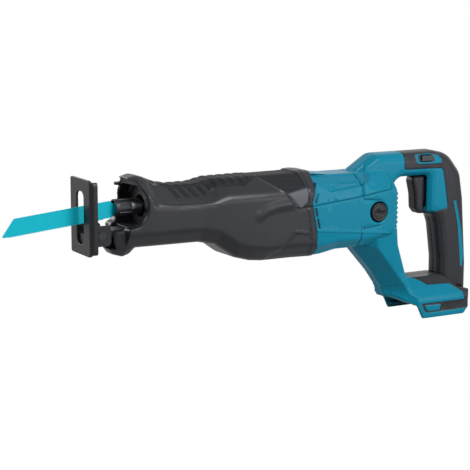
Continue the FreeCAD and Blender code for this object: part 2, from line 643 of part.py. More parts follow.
def make_brush_gear():
    """On each side: a carbon brush in its holder, its spring, and the slotted cap outside."""
    brushes = []
    holders = []
    springs = []
    caps = []
    for side in (-1, 1):
        inner = COMMUTATOR_R + GAP
        spring_start = inner + 10
        cap_inner = CAP_FACE - 5
        brush = box(BRUSH_X - BRUSH_HALF, BRUSH_X + BRUSH_HALF, inner, spring_start,
                    MOTOR_Z - BRUSH_HALF, MOTOR_Z + BRUSH_HALF)
        holder = box(BRUSH_X - HOLDER_HALF, BRUSH_X + HOLDER_HALF, inner + 2, cap_inner,
                     MOTOR_Z - HOLDER_HALF, MOTOR_Z + HOLDER_HALF)
        holder = holder.cut(box(BRUSH_X - BRUSH_HALF, BRUSH_X + BRUSH_HALF, inner, cap_inner + 1,
                                MOTOR_Z - BRUSH_HALF, MOTOR_Z + BRUSH_HALF))
        spring = rod_y(spring_start, cap_inner, BRUSH_HALF - 0.4, BRUSH_X, MOTOR_Z)
        spring = spring.cut(rod_y(spring_start - 1, cap_inner + 1, BRUSH_HALF - 1.2, BRUSH_X, MOTOR_Z))
        cap = rod_y(cap_inner, CAP_FACE, CAP_R, BRUSH_X, MOTOR_Z)
        cap = cap.cut(box(BRUSH_X - 7, BRUSH_X + 7, CAP_FACE - 1.6, CAP_FACE + 1, MOTOR_Z - 1, MOTOR_Z + 1))
        pieces = [brush, holder, spring, cap]
        if side < 0:
            pieces = [p.mirror(V(0, 0, 0), Y_DIR) for p in pieces]
        brushes.append(pieces[0])
        holders.append(pieces[1])
        springs.append(pieces[2])
        caps.append(pieces[3])
    add("carbon_brushes", *brushes)
    add("brush_holders", *holders)
    add("brush_springs", *springs)
    add("brush_cap_left", caps[0])
    add("brush_cap_right", caps[1])


# ---- Front casing -----------------------------------------------------------
def make_front_casing():
    """Aluminium gear housing inside a rubber cover with a hood, a mouth and a lower jaw."""
    room = station_loft(FRONT_STATIONS, tube_section, COVER_WALL).common(box(NOSE_X - GAP, 400, -60, 60,
                                                                             -90, 60))
    cover = station_loft(FRONT_STATIONS, tube_section).fuse(hood_solid())
    cover = cover.common(behind_front_edge()).fuse(jaw_solid())
    for tool in (room, mouth_hollow(), bar_channel(), button_pocket()):
        cover = cover.cut(tool)
    cover = cover.fuse(rim_tab())
    add("rubber_cover", cover.common(in_front_of_joint(-SEAM)))

    casting = station_loft(FRONT_STATIONS, tube_section, COVER_WALL + GAP)
    casting = casting.common(box(NOSE_X, FRONT_BEARING_X + BEARING_WIDTH, -60, 60, -90, 60))
    bore_bottom = BEARING_CAP_BOTTOM - 3
    yoke_way = box(YOKE_FRONT - GAP, YOKE_FRONT + YOKE_LENGTH + STROKE + GAP, -YOKE_WIDTH / 2 - GAP,
                   YOKE_WIDTH / 2 + GAP, -YOKE_HEIGHT / 2 - GAP, YOKE_HEIGHT / 2 + 1)
    tools = [rod_x(NOSE_X - 1, FRONT_BUSH_X, SLEEVE_R + 3),
             rod_x(FRONT_BUSH_X - 1, REAR_BUSH_X + BUSH_LENGTH, BUSH_R),
             rod_x(REAR_BUSH_X, CRANK_X, PLUNGER_R + 2),
             yoke_way, bar_channel(), button_pocket(),
             rod_z(CRANK_FLOOR, YOKE_HEIGHT / 2 + 1, CHAMBER_R, CRANK_X),
             rod_z(bore_bottom, CRANK_FLOOR, CRANK_SHAFT_R + 3.5, CRANK_X),
             rod_z(UPPER_BEARING_TOP - BEARING_WIDTH, CRANK_FLOOR, UPPER_BEARING_R, CRANK_X),
             rod_z(bore_bottom, LOWER_BEARING_BOTTOM + LOWER_BEARING_WIDTH, LOWER_BEARING_R, CRANK_X),
             rod_x(CRANK_X, FRONT_BEARING_X, PINION_R + 2.6, 0, MOTOR_Z),
             rod_x(FRONT_BEARING_X, FRONT_BEARING_X + BEARING_WIDTH + 1, FRONT_BEARING_R, 0, MOTOR_Z)]
    for tool in tools:
        casting = casting.cut(tool)
    add("gear_housing", casting.common(in_front_of_joint(-GAP)))
    add("bearing_cap", rod_z(BEARING_CAP_BOTTOM, LOWER_BEARING_BOTTOM, LOWER_BEARING_R, CRANK_X))
    for name, x in (("front_bush", FRONT_BUSH_X), ("rear_bush", REAR_BUSH_X)):
        add(name, ring_x(x, x + BUSH_LENGTH, BUSH_R, PLUNGER_R + RUNNING))
    add("plunger_seal", ring_x(FRONT_BUSH_X - 3, FRONT_BUSH_X, SLEEVE_R + 3, PLUNGER_R + RUNNING))


def behind_front_edge():
    """Everything behind the cover's front edge, whose rim is set further back on the left."""
    wires = []
    for y in (-60.0, 60.0):
        rim = [(x - RIM_SKEW * y if -18 < z < 29 else x, z, radius) for x, z, radius in FRONT_EDGE]
        wires.append(outline_y(y, rim + [(300.0, 60.0, 0), (300.0, -90.0, 0)]))
    return Part.makeLoft(wires, True, True)


def rim_tab():
    """Small tongue that stands forward of the rim on the right, under the hood."""
    outline = [(TAB_TIP_X, 20.0, 2), (TAB_TIP_X, MOUTH_HALF, 4), (NOSE_X - 4, MOUTH_HALF + 3, 0),
               (NOSE_X - 4, 19.0, 0)]
    return slab_z(MOUTH_TOP - 3, MOUTH_TOP, outline)


def hood_solid():
    """Raised lip over the mouth that shades the clamp."""
    arch = [(50.0, 29.0, 32.4, 26.0), (60.0, 32.0, 34.8, 30.0), (66.0, 33.0, 33.6, 32.4),
            (82.0, 33.2, 26.8, 32.8)]
    wires = []
    for x, half, top, low_half in arch:
        wires.append(outline_x(x, mirrored([(half * 0.4, top, 10), (half, top - 20, 9), (half, -14.0, 4),
                                            (low_half - 8, -16.0, 2)])))
    return Part.makeLoft(wires, True, True)


def jaw_solid():
    """Lower lip around the shoe bar."""
    rows = [(JAW_X, 15.0, -24.0, -41.0), (34.0, 19.0, -23.0, -49.0), (43.0, 21.5, -22.0, -51.5),
            (50.0, 22.5, -22.0, -49.0), (58.0, 23.0, -22.0, COVER_BOTTOM)]
    wires = [outline_x(x, mirrored([(w, top, 2), (w, low + 9, 6), (w - 9, low, 6)])) for x, w, top,
             low in rows]
    return Part.makeLoft(wires, True, True)


def mouth_hollow():
    """Open throat in front of the gear housing."""
    section = mirrored([(MOUTH_HALF - 12, MOUTH_TOP, 9), (MOUTH_HALF, MOUTH_TOP - 12, 12),
                        (MOUTH_HALF, MOUTH_BOTTOM + 12, 12), (MOUTH_HALF - 12, MOUTH_BOTTOM, 9)])
    return slab_x(20, NOSE_X - GAP, section)


def bar_channel():
    """Slideway for the shoe bar through the jaw and the gear housing."""
    front = box(10, JAW_ROOM_X, -LUG_HALF - 2, LUG_HALF + 2, JAW_FLOOR, MOUTH_BOTTOM + 4)
    way = box(40, BAR_BACK + SHOE_TRAVEL + 4, -BAR_HALF - GAP, BAR_HALF + GAP, BAR_BOTTOM - GAP,
              BAR_TOP + GAP)
    return front.fuse(way)


# ---- Rear casing ------------------------------------------------------------
RING = [(HANDLE_BACK, -136.0, 6), (HANDLE_BACK, -100.0, 60), (498.5, -20.0, 60), (493.0, 12.0, 26),
        (474.0, 35.4, 26), (452.0, HANDLE_TOP, 26), (368.0, HANDLE_TOP, 12), (337.5, 21.6, 12), (335.0,
                                                                                                 0.0, 1),
        (386.0, -12.0, 1), (402.0, HANDLE_UNDER, 14), (GRIP_FRONT, HANDLE_UNDER, 4), (GRIP_FRONT, -33.0, 4),
        (455.0, -40.0, 8), (459.0, -50.4, 20), (464.8, -92.0, 30), (465.0, -136.0, 2)]


# Screws that join the handle halves: x, z, and the y of the seat under the head.
SCREW_PLACES = [(380.0, 30.0, 12.0), (424.0, 26.0, 12.0), (478.0, 22.0, 12.0), (482.0, -60.0, 12.0),
                (414.0, -134.0, 26.0), (478.0, -134.0, 26.0)]


def make_rear_casing():
    """Motor housing, and the handle in two halves with its rubber grip, trigger and switch."""
    outer = station_loft(BODY_STATIONS, body_section)
    inner = station_loft(BODY_STATIONS, body_section, BODY_WALL)
    tail = box(200, SEAM_X - SEAM, -60, 60, -90, 60)
    motor_housing = outer.cut(inner).cut(in_front_of_joint(SEAM)).common(tail)
    for x in (CAN_X + 3, SEAM_X - 10):
        bulkhead = inner.common(box(x, x + 3, -60, 60, -90, 60)).cut(rod_x(x - 1, x + 4, CAN_R, 0, MOTOR_Z))
        motor_housing = motor_housing.fuse(bulkhead)
    cap_room = rod_y(-60, 60, CAP_RECESS_R + 2.5, BRUSH_X, MOTOR_Z)
    add("motor_housing", motor_housing.cut(cap_room).removeSplitter())

    ring = pillow(RING, GRIP_HALF, GRIP_EDGE)
    foot = foot_solid()
    core = pillow(inset(RING, RUBBER), GRIP_HALF - RUBBER, GRIP_EDGE - RUBBER, 2)
    rubber = ring.cut(core).common(rubber_zone()).cut(foot).cut(lock_slot()).cut(trigger_mouth())
    shell = ring.fuse(bulge_solid()).fuse(leg_solid()).fuse(foot).cut(rubber)
    for tool in casing_hollows():
        shell = shell.cut(tool)
    shell = shell.fuse(rear_seat()).removeSplitter()
    shell = shell.cut(rod_x(REAR_BEARING_X - 12, REAR_BEARING_X + REAR_BEARING_WIDTH, REAR_BEARING_R, 0,
                            MOTOR_Z))
    for x, z, head_y in SCREW_PLACES:
        hole = rod_y(-8, head_y + 1, SCREW_R, x, z).fuse(rod_y(head_y, 60, SCREW_HEAD_R + GAP, x, z))
        shell = shell.cut(hole)
        rubber = rubber.cut(hole)
    add("casing_screws", *casing_screws())
    for side, low, high in (("left", -80, 0), ("right", 0, 80)):
        half = box(300, 520, low, high, -170, 60)
        add("handle_" + side, shell.common(half))
        add("grip_rubber_" + side, rubber.common(half))


def bulge_solid(depth=0.0):
    """Rear of the motor, behind the seam, as far as the finger loop."""
    front = SEAM_X + SEAM - 4 * depth
    rows = [(front, 21.4, -63.9, 37.5), (350.0, 21.4, -62.5, 37.5), (378.0, 20.4, -58.5, 37.0),
            (BULGE_BACK - depth, 18.0, -54.0, 32.0)]
    return station_loft(rows, body_section, depth)


def leg_solid(depth=0.0):
    """Leg from the motor down to the foot, bevelled at the front."""
    rows = [(-46.0, 334.5, 388.0, 33.0), (-66.0, 338.5, 391.0, 31.0), (-100.0, 369.0, 403.0, 29.0),
            (-118.0, 382.0, 412.0, 30.0), (-132.0, 387.0, 424.0, 32.0)]
    nose = 8.0 - depth
    wires = []
    for z, front, back, half in rows:
        f = front + depth
        b = back - depth
        h = half - depth
        side = f + (h - nose) * 0.95
        wires.append(outline_z(z, [(f, -nose, 2), (side, -h, 4), (b, -h, 4), (b, h, 4), (side, h, 4),
                                   (f, nose, 2)]))
    return Part.makeLoft(wires, True, True)


def foot_solid():
    """Battery foot: roof-shaped above, flat rim below, swept back in front."""
    section = mirrored([(15.0, FOOT_RIDGE, 3), (FOOT_HALF - 1.5, FOOT_RIM_TOP + 1.5, 3),
                        (FOOT_HALF, -136.0, 2),
                        (FOOT_HALF, FOOT_BOTTOM, 1.5)])
    half = FOOT_HALF + 1
    shoulder = FOOT_BACK - 12.5
    plan = [(384.0, -8.0, 3), (402.0, -27.0, 14), (419.0, -half, 14), (shoulder, -half, 8),
            (FOOT_BACK, -22.0, 10),
            (FOOT_BACK, 22.0, 10), (shoulder, half, 8), (419.0, half, 14), (402.0, 27.0, 14), (384.0, 8.0, 3)]
    side = [(383.0, -119.0, 1), (385.8, -129.0, 2), (416.0, -141.0, 5), (424.0, FOOT_BOTTOM, 1.5),
            (shoulder - 6, FOOT_BOTTOM, 4), (shoulder, -150.0, 4), (FOOT_BACK, -146.0, 3), (FOOT_BACK,
                                                                                            -131.0, 3),
            (480.0, -125.0, 8),
            (464.0, -108.0, 3), (404.0, -105.0, 1)]
    foot = slab_x(375, 510, section)
    foot = foot.common(slab_z(-160, -100, plan))
    return foot.common(slab_y(-45, 45, side))


def rubber_zone():
    """Side outline of the soft grip: top band, back and lower grip, round the bare side panel."""
    zone = [(407.0, 60.0, 0), (407.0, 19.5, 3), (463.0, 19.0, 5), (467.0, 0.0, 20), (472.0, -30.0, 4),
            (440.0, -36.0, 3), (440.0, -150.0, 0), (520.0, -150.0, 0), (520.0, 60.0, 0)]
    return slab_y(-60, 60, zone)


def lock_slot():
    """Slot for the lock-off button, right through the handle."""
    return box(LOCK_X - LOCK_LENGTH / 2 - GAP, LOCK_X + LOCK_LENGTH / 2 + GAP, -60, 60,
               LOCK_Z - LOCK_HEIGHT / 2 - GAP, LOCK_Z + LOCK_HEIGHT / 2 + GAP)


def trigger_mouth():
    """Opening in the grip's front that the trigger moves in."""
    return box(430.0, GRIP_FRONT + TRIGGER_TRAVEL + 1, -TRIGGER_HALF - GAP, TRIGGER_HALF + GAP,
               TRIGGER_BOTTOM - GAP, HANDLE_UNDER)


def casing_hollows():
    """Rooms inside the handle: motor tail, leg duct, switch, trigger mouth and battery socket."""
    motor = bulge_solid(BODY_WALL)
    duct = leg_solid(BODY_WALL + 0.6).common(box(300, 520, -60, 60, -130, -50))
    switch = box(GRIP_FRONT + 4, SWITCH_X + SWITCH_LENGTH + 2, -11, 11, -29, 8)
    socket = box(SOCKET_FRONT, SOCKET_BACK, -FOOT_HALF + FOOT_WALL, FOOT_HALF - FOOT_WALL,
                 FOOT_BOTTOM - 1, HOLLOW_ROOF)
    lips = box(SOCKET_FRONT + 19, SOCKET_BACK - 1, -FOOT_HALF, -FOOT_HALF + FOOT_WALL + RAIL_LIP, -153.0,
               -149.5)
    lips = lips.fuse(lips.mirror(V(0, 0, 0), Y_DIR))
    room = box(428.0, 474.0, -20, 20, HOLLOW_ROOF - 1, -126.0)
    grip = box(468.0, 494.0, -9, 9, -128.0, -28.0)
    cap_seats = rod_y(-CAP_FACE - 4, CAP_FACE + 4, CAP_RECESS_R, BRUSH_X, MOTOR_Z)
    return [motor, duct, switch, trigger_mouth(), socket.cut(lips), room, grip, lock_slot(), cap_seats]


def rear_seat():
    """Boss inside the casing that holds the rear bearing."""
    return rod_x(REAR_BEARING_X - 1, BULGE_BACK - 1.5, REAR_BEARING_R + 6, 0, MOTOR_Z)


def casing_screws():
    """Screws sunk in the right-hand half and driven into the left."""
    screws = []
    for x, z, head_y in SCREW_PLACES:
        screw = rod_y(-8, head_y, SCREW_R, x, z).fuse(rod_y(head_y, head_y + SCREW_HEAD, SCREW_HEAD_R, x, z))
        screws.append(screw.removeSplitter())
    return screws


def make_controls():
    """Trigger, lock-off button, switch and battery terminals."""
    rear = GRIP_FRONT - GAP
    outline = [(rear, 9.8, 1), (427.5, 9.8, 3), (425.5, 4.0, 8), (429.5, -12.0, 30), (430.5, -29.0, 5),
               (435.5, TRIGGER_BOTTOM + 0.5, 4), (rear, TRIGGER_BOTTOM, 1)]
    trigger = pillow(outline, TRIGGER_HALF, 4.0)
    stem = box(rear - 3, SWITCH_X - TRIGGER_TRAVEL - GAP, -6, 6, -20, 4)
    add("trigger", trigger.fuse(stem).removeSplitter())
    button = box(LOCK_X - LOCK_LENGTH / 2, LOCK_X + LOCK_LENGTH / 2, -GRIP_HALF - 0.5,
                 GRIP_HALF - LOCK_TRAVEL,
                 LOCK_Z - LOCK_HEIGHT / 2, LOCK_Z + LOCK_HEIGHT / 2)
    add("lock_off_button", button)
    add("switch", box(SWITCH_X, SWITCH_X + SWITCH_LENGTH, -10.5, 10.5, -28.5, 7.5))
    add("terminal_block", box(429.0, 473.0, -19.5, 19.5, HOLLOW_ROOF, -131.0))
    blades = []
    for y in (-13.0, 0.0, 13.0):
        blades.append(box(436.0, 456.0, y - 0.6, y + 0.6, HOLLOW_ROOF - 8, HOLLOW_ROOF))
    add("battery_contacts", *blades)


def main():
    add("shoe", make_shoe())
    add("shoe_bracket", make_shoe_bracket())
    add("shoe_pin", make_shoe_pin())
    add("shoe_bar", make_shoe_bar())
    add("shoe_button", make_shoe_button())
    add("blade", make_blade())
    make_clamp()
    add("plunger", make_plunger())
    add("crank_roller", make_roller())
    make_crank()
    make_crank_bearings()
    make_armature()
    make_motor()
    make_brush_gear()
    make_front_casing()
    make_rear_casing()
    make_controls()
    os.makedirs("parts", exist_ok=True)
    for name, shape in PARTS.items():
        shape.exportStep("parts/" + name + ".step")
        print(name, shape.isValid(), len(shape.Solids), round(shape.Volume / 1000, 2))


main()
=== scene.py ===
"""Reciprocating saw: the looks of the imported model, in the part's own frame.

Blender's own lengths are in metres. Outlines, widths and depths are in millimetres. An outline or a line is
a list of (x, z) points seen from the side: x runs from the blade to the handle, and z upwards.
"""
import json
import math

import bpy
import numpy as np
from mathutils import Matrix, Vector

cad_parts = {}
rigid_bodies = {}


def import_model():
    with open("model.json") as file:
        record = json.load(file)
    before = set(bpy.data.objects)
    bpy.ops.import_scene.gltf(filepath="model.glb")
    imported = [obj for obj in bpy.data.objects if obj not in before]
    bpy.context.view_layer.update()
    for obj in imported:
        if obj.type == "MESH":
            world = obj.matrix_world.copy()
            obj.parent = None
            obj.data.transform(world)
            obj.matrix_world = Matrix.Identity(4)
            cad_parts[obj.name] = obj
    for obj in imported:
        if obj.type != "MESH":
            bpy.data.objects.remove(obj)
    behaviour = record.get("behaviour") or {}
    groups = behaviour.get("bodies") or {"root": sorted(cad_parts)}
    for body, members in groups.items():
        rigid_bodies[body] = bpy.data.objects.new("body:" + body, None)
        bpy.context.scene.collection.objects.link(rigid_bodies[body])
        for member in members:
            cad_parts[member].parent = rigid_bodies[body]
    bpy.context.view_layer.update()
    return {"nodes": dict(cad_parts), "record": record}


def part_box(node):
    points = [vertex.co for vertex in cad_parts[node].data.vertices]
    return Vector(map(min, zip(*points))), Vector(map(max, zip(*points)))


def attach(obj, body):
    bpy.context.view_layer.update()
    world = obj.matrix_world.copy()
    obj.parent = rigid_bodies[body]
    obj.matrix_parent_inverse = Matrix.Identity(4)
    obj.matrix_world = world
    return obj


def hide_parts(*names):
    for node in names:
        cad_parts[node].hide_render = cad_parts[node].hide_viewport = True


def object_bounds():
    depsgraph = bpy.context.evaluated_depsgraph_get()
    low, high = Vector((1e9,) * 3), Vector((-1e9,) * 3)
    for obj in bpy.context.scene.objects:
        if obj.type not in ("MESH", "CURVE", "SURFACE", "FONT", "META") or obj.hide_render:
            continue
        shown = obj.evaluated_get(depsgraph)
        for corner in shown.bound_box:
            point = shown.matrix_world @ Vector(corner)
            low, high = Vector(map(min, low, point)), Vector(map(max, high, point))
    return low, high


for thing in list(bpy.data.objects):
    bpy.data.objects.remove(thing)
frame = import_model()
NODES = frame["nodes"]
MM = 0.001

# ---- Materials ---------------------------------------------------------------
GRAIN_DEPTH = 0.00012
PATCH_SCALE = 30.0
ROUGH_SPREAD = 0.08
COAT_ROUGH = 0.2


def linear(*srgb):
    """Linear colour from 0 to 255 sRGB values."""
    return [((v / 255 + 0.055) / 1.055) ** 2.4 if v > 10 else v / 255 / 12.92 for v in srgb]


def material(name, colour, rough, spread=0.06, grain=1400.0, bump=0.12, metal=0.0, coat=0.0,
             stretch=(1, 1, 1), specular=0.5):
    """Procedural finish: fine grain as bump, slow variation of colour and roughness."""
    m = bpy.data.materials.new(name)
    m.use_nodes = True
    tree = m.node_tree
    shader = tree.nodes["Principled BSDF"]
    shader.inputs["Metallic"].default_value = metal
    shader.inputs["Coat Weight"].default_value = coat
    shader.inputs["Coat Roughness"].default_value = COAT_ROUGH
    shader.inputs["Specular IOR Level"].default_value = specular
    place = tree.nodes.new("ShaderNodeTexCoord")
    scale = tree.nodes.new("ShaderNodeMapping")
    scale.inputs["Scale"].default_value = stretch
    tree.links.new(place.outputs["Object"], scale.inputs["Vector"])
    fine = tree.nodes.new("ShaderNodeTexNoise")
    fine.inputs["Scale"].default_value = grain
    fine.inputs["Detail"].default_value = 2.0
    slow = tree.nodes.new("ShaderNodeTexNoise")
    slow.inputs["Scale"].default_value = PATCH_SCALE
    slow.inputs["Detail"].default_value = 4.0
    for noise in (fine, slow):
        tree.links.new(scale.outputs["Vector"], noise.inputs["Vector"])
    relief = tree.nodes.new("ShaderNodeBump")
    relief.inputs["Strength"].default_value = bump
    relief.inputs["Distance"].default_value = GRAIN_DEPTH
    tree.links.new(fine.outputs["Fac"], relief.inputs["Height"])
    tree.links.new(relief.outputs["Normal"], shader.inputs["Normal"])
    ramp = tree.nodes.new("ShaderNodeMix")
    ramp.data_type = "RGBA"
    factor, darker, lighter = ramp.inputs[0], ramp.inputs[6], ramp.inputs[7]
    darker.default_value = [c * (1 - spread) for c in colour] + [1]
    lighter.default_value = [min(1.0, c * (1 + spread)) for c in colour] + [1]
    tree.links.new(slow.outputs["Fac"], factor)
    tree.links.new(ramp.outputs[2], shader.inputs["Base Color"])
    span = tree.nodes.new("ShaderNodeMapRange")
    span.inputs["To Min"].default_value = rough - ROUGH_SPREAD / 2
    span.inputs["To Max"].default_value = rough + ROUGH_SPREAD / 2
    tree.links.new(slow.outputs["Fac"], span.inputs["Value"])
    tree.links.new(span.outputs["Result"], shader.inputs["Roughness"])
    return m


MATERIALS = {
    "teal_housing": material("teal_plastic", linear(0, 113, 138), 0.32, grain=1800, bump=0.08, specular=0.13),
    "black_rubber": material("black_rubber", linear(32, 33, 38), 0.36, grain=1300, bump=0.16, spread=0.08,
                             specular=0.26),
    "dark_plastic": material("dark_plastic", linear(27, 28, 32), 0.38, grain=1500, bump=0.16, specular=0.25),
    "grey_plastic": material("grey_plastic", linear(60, 61, 65), 0.45, grain=1500, bump=0.16, specular=0.2),
    "black_steel": material("black_paint", linear(18, 19, 23), 0.42, grain=900, bump=0.05, coat=0.08,
                            specular=0.25),
    "blade_coat": material("blade_paint", linear(0, 168, 187), 0.45, grain=700, bump=0.06, spread=0.04,
                           specular=0.15),
    "steel": material("bright_steel", linear(190, 192, 196), 0.28, metal=1.0, grain=500, bump=0.05,
                      stretch=(0.15, 1, 1)),
    "dark_steel": material("dark_steel", linear(34, 35, 39), 0.38, metal=0.2, grain=800, bump=0.08,
                           specular=0.35),
    "aluminium": material("cast_aluminium", linear(150, 152, 156), 0.5, metal=0.9, grain=900, bump=0.3),
    "laminations": material("laminations", linear(120, 122, 126), 0.45, metal=0.9, grain=400, bump=0.4,
                            stretch=(8, 0.2, 0.2)),
    "copper": material("copper", linear(196, 112, 74), 0.32, metal=1.0, grain=600, bump=0.2),
    "bronze": material("bronze", linear(178, 142, 84), 0.38, metal=1.0, grain=600, bump=0.12),
    "carbon": material("carbon", linear(34, 34, 36), 0.6, grain=1200, bump=0.3),
    "ferrite": material("ferrite", linear(52, 52, 56), 0.65, grain=1200, bump=0.3),
}
TEAL = MATERIALS["teal_housing"]
RUBBER = MATERIALS["black_rubber"]
# Painted shade: near black laid into the vents and into the recess around the lock-off button, standing in
# for the shade inside them.
RECESS_SHADE = material("painted_recess_shade", linear(14, 15, 18), 0.6, grain=1200, bump=0.2)
# Painted light: a lighter rubber on one facet at the rear of the cover, standing in for the light that facet
# catches; it is the same rubber as the rest.
FACET_HIGHLIGHT = material("painted_facet_highlight", linear(78, 80, 86), 0.6, grain=1100, bump=0.3, specular=0.3)
DEEP_RUBBER = material("deep_rubber", linear(34, 35, 39), 0.6, grain=1100, bump=0.3, specular=0.1)
# Painted shade: a darker teal laid along the long groove and the seams, standing in for the shade inside
# them.
GROOVE_SHADE = material("painted_groove_shade", linear(0, 74, 92), 0.45, grain=1800, bump=0.08, specular=0.1)

# Dark steel in place of the bright metal of their slot: the shoe's bar and pin have a dark finish, and the
# gear housing and the casing screws are drawn darker.
DARKENED = {name: "dark_steel" for name in ("gear_housing", "shoe_bar", "shoe_pin", "casing_screws")}
SLOTS = {row["node"]: row["material_slot"] for row in frame["record"]["subparts"]}
for name, node in NODES.items():
    slot_name = DARKENED.get(name, SLOTS.get(name))
    if slot_name in MATERIALS:
        node.data.materials.clear()
        node.data.materials.append(MATERIALS[slot_name])


# ---- Shapes drawn on a surface -------------------------------------------------
def smooth_step(value, low, high):
    """0 up to low, 1 from high on, and a smooth rise between."""
    t = np.clip((value - low) / (high - low), 0, 1)
    return t * t * (3 - 2 * t)


def window(value, start, full, fall, end):
    """Rises smoothly from start to full, and falls again from fall to end."""
    return smooth_step(value, start, full) * (1 - smooth_step(value, fall, end))


def line_height(x, line):
    """z of an open line at each x; level beyond its ends."""
    return np.interp(x, *zip(*line))


def spans(line):
    """Start and direction of each straight stretch of an open line."""
    for a, b in zip(line[:-1], line[1:]):
        a, b = np.array(a, float), np.array(b, float)
        yield a, b - a


def share_along(points, start, span):
    """Where on a stretch, from 0 to 1, the nearest place to each 2-D point lies."""
    return np.clip(((points - start) @ span) / (span @ span), 0, 1)


def line_distance(points, line):
    """Distance of each 2-D point to an open line of points."""
    best = np.full(len(points), np.inf)
    for start, span in spans(line):
        t = share_along(points, start, span)
        best = np.minimum(best, np.linalg.norm(points - start - t[:, None] * span, axis=1))
    return best


def nearest_on(points, outline):
    """Nearest place on a closed outline for each 2-D point, and the distance to it."""
    best = np.full(len(points), np.inf)
    place = points.copy()
    for start, span in spans(outline + outline[:1]):
        foot = start + share_along(points, start, span)[:, None] * span
        gap = np.linalg.norm(points - foot, axis=1)
        nearer = gap < best
        best[nearer] = gap[nearer]
        place[nearer] = foot[nearer]
    return place, best


def inside(points, outline):
    """True for each 2-D point inside a closed outline."""
    result = np.zeros(len(points), bool)
    x, z = points[:, 0], points[:, 1]
    for (x0, z0), (x1, z1) in zip(outline, outline[1:] + outline[:1]):
        if z0 == z1:
            continue
        crosses = ((z0 > z) != (z1 > z)) & (x < (x1 - x0) * (z - z0) / (z1 - z0) + x0)
        result ^= crosses
    return result


def depth_in(points, outline):
    """How far each 2-D point lies inside a closed outline; negative outside."""
    gap = line_distance(points, outline + outline[:1])
    return np.where(inside(points, outline), gap, -gap)


def strip(line, half=0.55):
    """Closed outline around an open line."""
    points = [np.array(p, float) for p in line]
    left, right = [], []
    for i, p in enumerate(points):
        along = points[min(i + 1, len(points) - 1)] - points[max(i - 1, 0)]
        along /= np.linalg.norm(along)
        across = half * np.array([-along[1], along[0]])
        left.append(tuple(p + across))
        right.append(tuple(p - across))
    return left + right[::-1]


def vent_outline(line, half=1.2):
    """Outline of a slanted slot with level ends."""
    (x0, z0), (x1, z1) = line
    return [(x0 - half, z0), (x0 + half, z0), (x1 + half, z1), (x1 - half, z1)]


def groove(points, line, width, depth):
    return -depth * (1 - smooth_step(line_distance(points, line), width * 0.2, width * 0.5))


def ridge(points, line, width, height):
    return height * (1 - smooth_step(line_distance(points, line), 0, width * 0.5))


def plateau(points, outline, height, edge):
    """A raised or, with a negative height, sunken area with an edge of the given width."""
    return height * smooth_step(depth_in(points, outline), -edge / 2, edge / 2)


# ---- Ways a surface faces --------------------------------------------------------
def outward(places, normals):
    """Sideways part of the normal, away from the middle plane."""
    return normals[:, 1] * np.sign(places[:, 1])


def outwardness(places, normals):
    """1 on the outside of the two flanks, 0 elsewhere."""
    return smooth_step(outward(places, normals), 0.25, 0.6)


def upwardness(normals):
    """1 on a surface that faces upwards, 0 elsewhere."""
    return smooth_step(normals[:, 2], 0.3, 0.7)


def flanks(places, normals):
    return outward(places, normals) > 0.3


def outer(places, normals):
    """Faces that look outwards or upwards."""
    return (outward(places, normals) > 0.1) | (normals[:, 2] > 0.5)


def outer_or_rear(places, normals):
    return outer(places, normals) | (normals[:, 0] > 0.2)


# ---- Remeshed surfaces ---------------------------------------------------------
def remeshed(nodes, voxel, rounds):
    """One even mesh of the given CAD nodes, with softened edges."""
    vertices, faces, start = [], [], 0
    for name in nodes:
        mesh = NODES[name].data
        vertices += [tuple(v.co) for v in mesh.vertices]
        faces += [tuple(start + i for i in p.vertices) for p in mesh.polygons]
        start = len(vertices)
    mesh = bpy.data.meshes.new("raw")
    mesh.from_pydata(vertices, [], faces)
    raw = bpy.data.objects.new("raw", mesh)
    bpy.context.collection.objects.link(raw)
    even = raw.modifiers.new("even", "REMESH")
    even.mode = "VOXEL"
    even.voxel_size = voxel * MM
    soft = raw.modifiers.new("soft", "SMOOTH")
    soft.factor = 0.5
    soft.iterations = rounds
    result = bpy.data.meshes.new_from_object(raw.evaluated_get(bpy.context.evaluated_depsgraph_get()))
    bpy.data.objects.remove(raw)
    bpy.data.meshes.remove(mesh)
    return result


def read(rows, attribute):
    """One 3-D value of each row of a mesh, such as its centre or its normal."""
    flat = np.empty(len(rows) * 3)
    rows.foreach_get(attribute, flat)
    return flat.reshape(-1, 3)


def write(mesh, places):
    mesh.vertices.foreach_set("co", (places * MM).ravel())
    mesh.update()


def snap_to(places, normals, paints, reach):
    """Moves the points that are close to the edge of a paint onto that edge, so that it comes out clean."""
    for outline, _, test in paints:
        near = np.where(test(places, normals))[0]
        target, gap = nearest_on(places[near][:, [0, 2]], outline)
        close = gap < reach
        places[near[close], 0] = target[close, 0]
        places[near[close], 2] = target[close, 1]


def resurface(mesh, relief, materials, paints=(), snap=0.5, reshape=None):
    """Moves the surface by relief(places, normals), and paints zones given as (outline, material, test).

    The first material is the one of the unpainted rest. The reach of snap is at most half a voxel, because
    two rows of points that land on the same edge leave faces without area between them.
    """
    for m in materials:
        mesh.materials.append(m)
    places = read(mesh.vertices, "co") / MM
    normals = read(mesh.vertex_normals, "vector")
    if reshape:
        reshape(places, normals)
        write(mesh, places)
        normals = read(mesh.vertex_normals, "vector")
    snap_to(places, normals, paints, snap)
    places += normals * relief(places, normals)[:, None]
    write(mesh, places)
    centres = read(mesh.polygons, "center") / MM
    face_normals = read(mesh.polygons, "normal")
    index = np.zeros(len(centres), np.int32)
    for outline, paint, test in paints:
        index[test(centres, face_normals) & inside(centres[:, [0, 2]], outline)] = materials.index(paint)
    mesh.polygons.foreach_set("material_index", index)
    mesh.polygons.foreach_set("use_smooth", np.ones(len(centres), bool))
    mesh.update()


def piece(name, mesh, nodes, keep, body="casing"):
    """A finished piece that stands for CAD nodes, thinned to a share of its faces."""
    thing = bpy.data.objects.new(name, mesh)
    bpy.context.collection.objects.link(thing)
    fewer = thing.modifiers.new("fewer", "DECIMATE")
    fewer.ratio = keep
    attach(thing, body)
    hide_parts(*nodes)
    return thing


